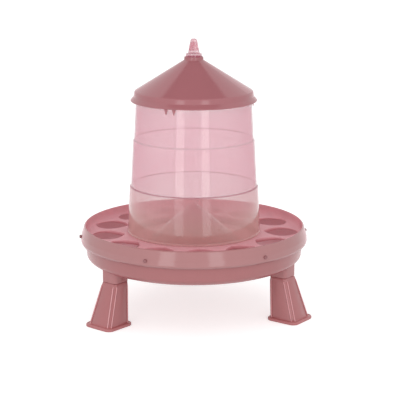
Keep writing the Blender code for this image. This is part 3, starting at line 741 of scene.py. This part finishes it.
# a leg's place is its azimuth and the turn of its square section about its own axis
legs = {"places": {"front_left": (-60.0, 13.0), "front_right": (60.0, -13.0), "rear": (180.0, 0.0)},
        "socketRadius": 0.1759, "socketSide": 0.0356, "socketCorner": 0.0070, "socketZ": 0.0810,
        "roofZ": 0.1012, "socketWall": 0.0020, "footRadius": 0.1915, "footSide": 0.0535, "wall": 0.0022,
        "chamfer": 0.0048, "bead": 0.0009, "beadHalf": 0.0012, "groove": 0.0008, "play": 0.0003,
        "neckTopZ": 0.0975, "neckShare": 0.94, "beadLevels": ((0.0, 1), (0.3, 1), (0.6, 1), (0.9, 1),
                                                              (0.925, 0.5), (0.94, 0)),
        "sectionFaces": 12, "beadFaces": (2, 3, 7, 8), "shoulderShare": 0.988, "shoulderInset": 0.0010,
        "padRadius": 0.1912, "padSide": 0.0650, "padCorner": 0.0125, "padCornerLeast": 0.0014,
        "padTopZ": 0.0068,
        "catchZ": 0.0895, "catchSide": 0.0070, "catchRound": 0.0022, "catchRise": 0.0006,
        "catchHalf": 0.0007}
# a pad's outline as (inset, height): sole, rounded edge, and a dip before the leg's wall
padRim = [(0.0085, 0.0), (0.0018, 0.0), (0.0007, 0.0004), (0.0001, 0.0014), (0.0, 0.0028),
          (0.0002, 0.0042), (0.0009, 0.0053), (0.0019, 0.0059), (0.0029, 0.0058), (0.0038, 0.0053),
          (0.0048, 0.0053), (0.0085, 0.0070)]


def addSocket(bm, place):
    # a square collar with a slightly flared foot, hollow for the leg's neck
    side, corner, wall = legs["socketSide"], legs["socketCorner"], legs["socketWall"]
    levels = [(side - 2 * wall, corner - wall, legs["roofZ"] - 0.0030),
              (side - 2 * wall, corner - wall, legs["socketZ"]),
              (side - 0.0012, corner - 0.0004, legs["socketZ"]), (side, corner, legs["socketZ"] + 0.0006),
              (side, corner, legs["roofZ"])]
    loops = []
    for width, rounding, height in levels:
        spots = standing(roundedSquare(width, rounding), legs["socketRadius"], place, height)
        loops.append([bm.verts.new(spot) for spot in spots])
    joinLoops(bm, loops, capStart=True, capEnd=True)


def addCatch(bm, place):
    # the latch's tongue shows as a raised U on one face of the socket
    azimuth, turn = place
    spin = Matrix.Rotation(radians(azimuth + turn), 3, "Z")
    middle = around(legs["socketRadius"], azimuth, legs["catchZ"])
    half = legs["catchSide"] / 2
    face = legs["socketSide"] / 2
    top, bend = half + legs["catchRise"], legs["catchRound"]
    track = softened([(-half, top), (-half, -half, bend), (half, -half, bend), (half, top)],
                     closed=False, segments=5)
    loops = []
    for k, point in enumerate(track):
        ahead = track[min(k + 1, len(track) - 1)] - track[max(k - 1, 0)]
        aside = Vector((-ahead.y, ahead.x)).normalized() * legs["catchHalf"]
        ring = []
        for offset, lift in ((-1.0, -0.0004), (-0.6, 0.0005), (0.6, 0.0005), (1.0, -0.0004)):
            flat = point + aside * offset
            ring.append(bm.verts.new(spin @ Vector((face + lift, flat.x, flat.y)) + middle))
        loops.append(ring)
    joinLoops(bm, loops, capStart=True, capEnd=True)


def buildPan():
    wall, steps = pan["wall"], pan["cornerSteps"]

    def corner(inset, start, end):
        return [(pan["floorRadius"] + (pan["wallRadius"] - pan["floorRadius"] - inset) * sin(radians(a)),
                 pan["wallZ"] - (pan["wallZ"] - pan["bottomZ"] - inset) * cos(radians(a)))
                for a in [start + (end - start) * i / steps for i in range(steps + 1)]]

    floorZ = pan["bottomZ"] + wall
    seat, inner, seatZ = pan["seatRadius"], pan["seatRadius"] - pan["seatWidth"], floorZ + pan["seatHeight"]
    rim = [(pan["rimRadius"] - wall, pan["rimZ"], pan["rimRound"]),
           (pan["rimRadius"], pan["rimZ"], pan["rimRound"])]
    floor = [(0, pan["bottomZ"]), (0, floorZ), (inner, floorZ, pan["seatFootRound"]),
             (inner, seatZ, pan["seatRound"]), (seat, seatZ, pan["seatRound"]),
             (seat, floorZ, pan["seatFootRound"])]
    bm = bmesh.new()
    turnProfile(bm, softened(rim + corner(0, 90, 0) + floor + corner(wall, 0, 90)))
    for place in legs["places"].values():
        addSocket(bm, place)
        addCatch(bm, place)

    # the trough's faces take the lighter, glowing plastic: painted light
    def inTrough(face):
        return face.calc_center_median().z > floorZ - 0.0005 and (facesAxis(face) or face.normal.z > 0.2)

    return makePiece("roundPan", bm, [panPlastic, troughGlowPlastic], "feeder", "feed_pan",
                     isSecond=inTrough)


buildPan()
print("Pan built")


# Spreader cone

cone = {"apexZ": 0.2035, "slope": 40.0, "baseRadius": 0.1200, "baseZ": 0.0973, "wall": 0.0022,
        "noseRadius": 0.0055, "noseDrop": 0.0030, "noseRound": 0.0030, "shoulder": 1.6,
        "skirtRound": 0.0015, "footRound": 0.0004, "innerRound": 0.0010, "hollowTip": 0.004,
        "hollowDrop": 0.002}


def buildCone():
    rise = tan(radians(cone["slope"]))
    skirtZ = cone["apexZ"] - cone["baseRadius"] * rise
    inner = cone["baseRadius"] - cone["wall"]
    innerApex = cone["apexZ"] - cone["wall"] / cos(radians(cone["slope"]))
    nose = cone["apexZ"] - cone["noseDrop"]
    shoulder = cone["shoulder"] * cone["noseRadius"]
    tip = cone["hollowTip"]
    profile = softened([(0, nose), (cone["noseRadius"] * 0.5, nose, cone["noseRound"]),
                        (shoulder, cone["apexZ"] - shoulder * rise),
                        (cone["baseRadius"], skirtZ, cone["skirtRound"]),
                        (cone["baseRadius"], cone["baseZ"], cone["footRound"]),
                        (inner, cone["baseZ"], cone["footRound"]),
                        (inner, innerApex - inner * rise, cone["innerRound"]),
                        (tip, innerApex - tip * rise - cone["hollowDrop"]),
                        (0, nose - cone["wall"])], closed=False)
    bm = bmesh.new()
    turnProfile(bm, profile, closed=False)
    return makePiece("spreaderCone", bm, [conePlastic], "feeder", "spreader_cone")


buildCone()
print("Cone built")


# Legs: tapered square posts with beaded corners and a rimmed pad

def legSection(side, bead):
    # corners are cut off, with a bead down each edge of the cut and fine grooves beside the beads
    half, cut = side / 2, legs["chamfer"]
    width, groove = legs["beadHalf"], legs["groove"] * bead
    rise = legs["bead"] * bead
    # places beside a bead's crest, in its half widths, and the height of its flank as a share
    level, dip, flank, flankRise = 2.2, 1.2, 0.6, 0.7
    diagonal = Vector((1, 1)).normalized()
    along = Vector((-1, 1)).normalized()
    faceOne, faceTwo = Vector((1, 0)), Vector((0, 1))
    edgeOne, edgeTwo = (faceOne + diagonal).normalized(), (faceTwo + diagonal).normalized()
    first, second = Vector((half, half - cut)), Vector((half - cut, half))
    points = [first - faceTwo * width * level,
              first - faceTwo * width * dip - faceOne * groove,
              first - faceTwo * width * flank + faceOne * rise * flankRise,
              first + edgeOne * rise,
              first + along * width * flank + diagonal * rise * flankRise,
              first + along * width * dip - diagonal * groove,
              second - along * width * dip - diagonal * groove,
              second - along * width * flank + diagonal * rise * flankRise,
              second + edgeTwo * rise,
              second - faceOne * width * flank + faceTwo * rise * flankRise,
              second - faceOne * width * dip - faceTwo * groove,
              second - faceOne * width * level]
    loop = []
    for quarter in range(4):
        turn = Matrix.Rotation(quarter * pi / 2, 2)
        loop += [turn @ point for point in points]
    return loop


def buildLeg(name, place):
    topZ = legs["socketZ"] - legs["play"]
    neckSide = legs["socketSide"] - 2 * (legs["socketWall"] + legs["play"])
    wall, neckShare = legs["wall"], legs["neckShare"]
    bm = bmesh.new()

    def addLoop(loop, distance, height):
        return [bm.verts.new(spot) for spot in standing(loop, distance, place, height)]

    def level(share, inset=0.0, bead=1.0):
        side = legs["footSide"] + share * (legs["socketSide"] - legs["footSide"]) - 2 * inset
        distance = legs["footRadius"] + share * (legs["socketRadius"] - legs["footRadius"])
        return addLoop(legSection(side, bead), distance, share * topZ)

    def neck(height):
        return addLoop(legSection(neckSide, 0.0), legs["socketRadius"], height)

    # bead faces take the lighter plastic, a painted highlight
    def plasticOf(i):
        return 2 if i % legs["sectionFaces"] in legs["beadFaces"] else 0

    def onPad(face):
        return face.calc_center_median().z < legs["padTopZ"]

    hollow = [level(neckShare, wall, 0), level(0.0, wall, 0), level(0.0)]
    beaded = [level(share, 0, bead) for share, bead in legs["beadLevels"]]
    shoulder = [level(neckShare, 0, 0), level(legs["shoulderShare"], 0, 0),
                level(1.0, legs["shoulderInset"], 0), neck(topZ), neck(legs["neckTopZ"])]
    joinLoops(bm, hollow, capStart=True)
    joinLoops(bm, beaded, finish=plasticOf)
    joinLoops(bm, shoulder, capEnd=True)
    ribbon = []
    for inset, height in padRim:
        corner = max(legs["padCornerLeast"], legs["padCorner"] - inset)
        ribbon.append(addLoop(roundedSquare(legs["padSide"] - 2 * inset, corner, steps=8),
                              legs["padRadius"], height))
    joinLoops(bm, ribbon, closed=True)
    return makePiece("beadedLeg_" + name, bm, [legPlastic, padPlastic, beadHighlightPlastic], "feeder",
                     "leg_" + name, sharp=45, isSecond=onPad)


for legName, legPlace in legs["places"].items():
    buildLeg(legName, legPlace)
print("Legs built")


# Locking pegs: a domed head on a plain round shank

# the pegs take a darker plastic, which is painted shade
pegs = {"azimuths": [-150.0, -90.0, -30.0, 30.0, 90.0, 150.0], "z": 0.1425, "headRadius": 0.0034,
        "shankRadius": 0.0023, "tip": 0.2003, "band": 0.2098, "head": 0.2130, "crownShare": 0.7,
        "crownDrop": 0.0002, "crownRound": 0.0010, "brimDrop": 0.0016, "brimRound": 0.0008,
        "tipShare": 0.6, "tipRise": 0.0012, "tipRound": 0.0006}


def buildPeg(number, azimuth):
    turn = Matrix.Rotation(radians(azimuth), 4, "Z")
    place = (Matrix.Translation((0, axisY, pegs["z"])) @ turn @ Matrix.Rotation(radians(90), 4, "X"))
    head, brim, shank, tip = pegs["head"], pegs["headRadius"], pegs["shankRadius"], pegs["tip"]
    profile = softened([(0, head), (brim * pegs["crownShare"], head - pegs["crownDrop"], pegs["crownRound"]),
                        (brim, head - pegs["brimDrop"], pegs["brimRound"]), (brim, pegs["band"]),
                        (shank, pegs["band"]), (shank, tip + pegs["tipRise"], pegs["tipRound"]),
                        (shank * pegs["tipShare"], tip), (0, tip)], closed=False)
    bm = bmesh.new()
    turnProfile(bm, profile, steps=32, closed=False, place=place)
    return makePiece("domedPeg_%d" % number, bm, [shadedPegPlastic], "feeder", "locking_peg_%d" % number)


for pegNumber, pegAzimuth in enumerate(pegs["azimuths"], start=1):
    buildPeg(pegNumber, pegAzimuth)
print("Pegs built")


# Studio: pale floor, bright surroundings with a dark patch overhead, two upright strip lights in front

view = {"azimuth": -6.6, "down": 13.033, "distance": 2.48347, "aside": 0.01122, "aimZ": 0.206,
        "lens": 120.57, "sensorWidth": 36, "farthest": 50}
studio = {"ambient": 0.72, "overhead": 0.10, "darkFrom": 0.812, "darkTo": 0.842,
          "floorTone": 0.80, "floorLift": 0.62, "floorHalf": 9.0, "floorCells": 24, "paperTone": 0.02,
          "strips": [{"aside": -0.6615, "width": 0.451, "radiance": 1.9},
                     {"aside": 0.5515, "width": 0.397, "radiance": 1.9}],
          "stripFront": 1.4, "stripHeight": 0.95}


def buildCamera():
    camera = bpy.data.objects.new("photoCamera", bpy.data.cameras.new("photoCamera"))
    bpy.context.scene.collection.objects.link(camera)
    camera.data.lens = view["lens"]
    camera.data.sensor_width = view["sensorWidth"]
    camera.data.clip_end = view["farthest"]
    down = radians(view["down"])
    offset = Vector((view["aside"], -view["distance"] * cos(down), view["distance"] * sin(down)))
    turn = Matrix.Rotation(radians(view["azimuth"]), 3, "Z")
    camera.location = turn @ offset + Vector((0, axisY, view["aimZ"]))
    camera.rotation_euler = (radians(90) - down, 0, radians(view["azimuth"]))
    bpy.context.scene.camera = camera


def buildStrip(number, strip):
    # an upright strip light, which also shows as a stripe on the plastic
    lamp = bpy.data.lights.new("stripLight%d" % number, "AREA")
    lamp.shape = "RECTANGLE"
    lamp.size, lamp.size_y = strip["width"], studio["stripHeight"]
    lamp.energy = strip["radiance"] * pi * lamp.size * lamp.size_y
    lit = bpy.data.objects.new(lamp.name, lamp)
    bpy.context.scene.collection.objects.link(lit)
    turn = Matrix.Rotation(radians(view["azimuth"]), 3, "Z")
    lit.location = (turn @ Vector((strip["aside"], -studio["stripFront"], 0))
                    + Vector((0, axisY, studio["stripHeight"] / 2)))
    lit.rotation_euler = (radians(90), 0, radians(view["azimuth"]))
    lit.visible_camera = False


def rayMask(tree, *kinds):
    path = addNode(tree, "ShaderNodeLightPath")
    mask = path.outputs[kinds[0]]
    for kind in kinds[1:]:
        mask = math(tree, "MAXIMUM", mask, path.outputs[kind])
    return mask


def buildWorld():
    world = bpy.data.worlds.new("studioAir")
    bpy.context.scene.world = world
    world.use_nodes = True
    tree = world.node_tree
    background = tree.nodes["Background"]
    up = addNode(tree, "ShaderNodeSeparateXYZ",
                 {0: addNode(tree, "ShaderNodeTexCoord").outputs["Generated"]}).outputs["Z"]
    dark = softStep(tree, up, studio["darkFrom"], studio["darkTo"])
    fade = math(tree, "MULTIPLY_ADD", dark, studio["overhead"] - 1.0, 1.0)
    mirrored = addNode(tree, "ShaderNodeMix", {"Factor": rayMask(tree, "Is Glossy Ray"),
                                               "A": studio["ambient"], "B": fade})
    throughAir = rayMask(tree, "Is Camera Ray", "Is Transmission Ray")
    seen = math(tree, "MAXIMUM", mirrored.outputs["Result"], throughAir)
    tree.links.new(seen, background.inputs["Strength"])
    background.inputs["Color"].default_value = (1, 1, 1, 1)


def buildFloor():
    bm = bmesh.new()
    cells = studio["floorCells"]
    bmesh.ops.create_grid(bm, x_segments=cells, y_segments=cells, size=studio["floorHalf"])
    mesh = bpy.data.meshes.new("paleFloor")
    bm.to_mesh(mesh)
    bm.free()
    floor = bpy.data.objects.new("paleFloor", mesh)
    bpy.context.scene.collection.objects.link(floor)
    material, tree, shader = newMaterial("paleFloor")
    place = addNode(tree, "ShaderNodeTexCoord").outputs["Object"]
    paper = addNode(tree, "ShaderNodeTexNoise", {"Vector": place, "Scale": 5.0, "Detail": 4.0})
    tone = math(tree, "MULTIPLY_ADD", paper.outputs["Fac"], studio["paperTone"],
                studio["floorTone"] - studio["paperTone"] / 2)
    pale = addNode(tree, "ShaderNodeCombineXYZ", {"X": tone, "Y": tone, "Z": tone})
    tree.links.new(pale.outputs[0], shader.inputs["Base Color"])
    shader.inputs["Roughness"].default_value = 0.9
    shader.inputs["Specular IOR Level"].default_value = 0.0
    shader.inputs["Emission Color"].default_value = (1, 1, 1, 1)
    seen = rayMask(tree, "Is Camera Ray", "Is Glossy Ray", "Is Transmission Ray")
    tree.links.new(math(tree, "MULTIPLY", seen, studio["floorLift"]), shader.inputs["Emission Strength"])
    floor.data.materials.append(material)


buildCamera()
for stripNumber, stripLight in enumerate(studio["strips"], start=1):
    buildStrip(stripNumber, stripLight)
buildWorld()
buildFloor()
bpy.context.scene.view_settings.view_transform = "Standard"
print("Studio ready")
